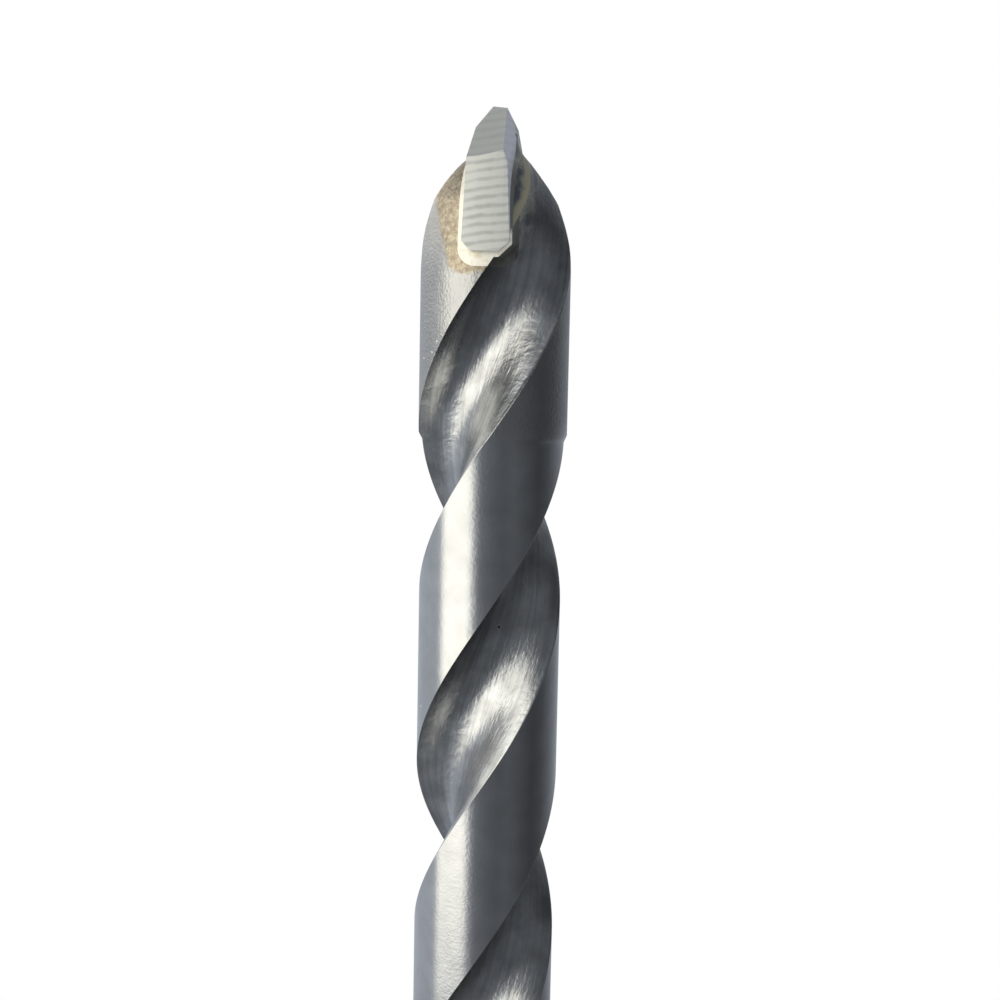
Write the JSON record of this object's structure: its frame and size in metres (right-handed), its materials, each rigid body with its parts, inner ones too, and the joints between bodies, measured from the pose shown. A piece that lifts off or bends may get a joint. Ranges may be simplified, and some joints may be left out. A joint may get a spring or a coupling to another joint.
{
  "type": "carbide tipped twist drill bit",
  "caption": "Straight shank twist drill with a brazed carbide plate across its point, for drilling masonry.",
  "frame": {"origin": "centre of the flat end of the shank", "axes": "+Z along the axis of the drill towards the point; Y along the width of the carbide plate"},
  "size_m": [0.0076, 0.008, 0.1199],
  "materials": {
    "drill_steel": "ground lands and milled flutes",
    "carbide": "ground sintered carbide",
    "braze": "solidified braze metal, dull"
  },
  "bodies": {
    "root": {"drill_body": "drill_steel", "carbide_tip": "carbide", "braze_seam": "braze"}
  },
  "joints": []
}
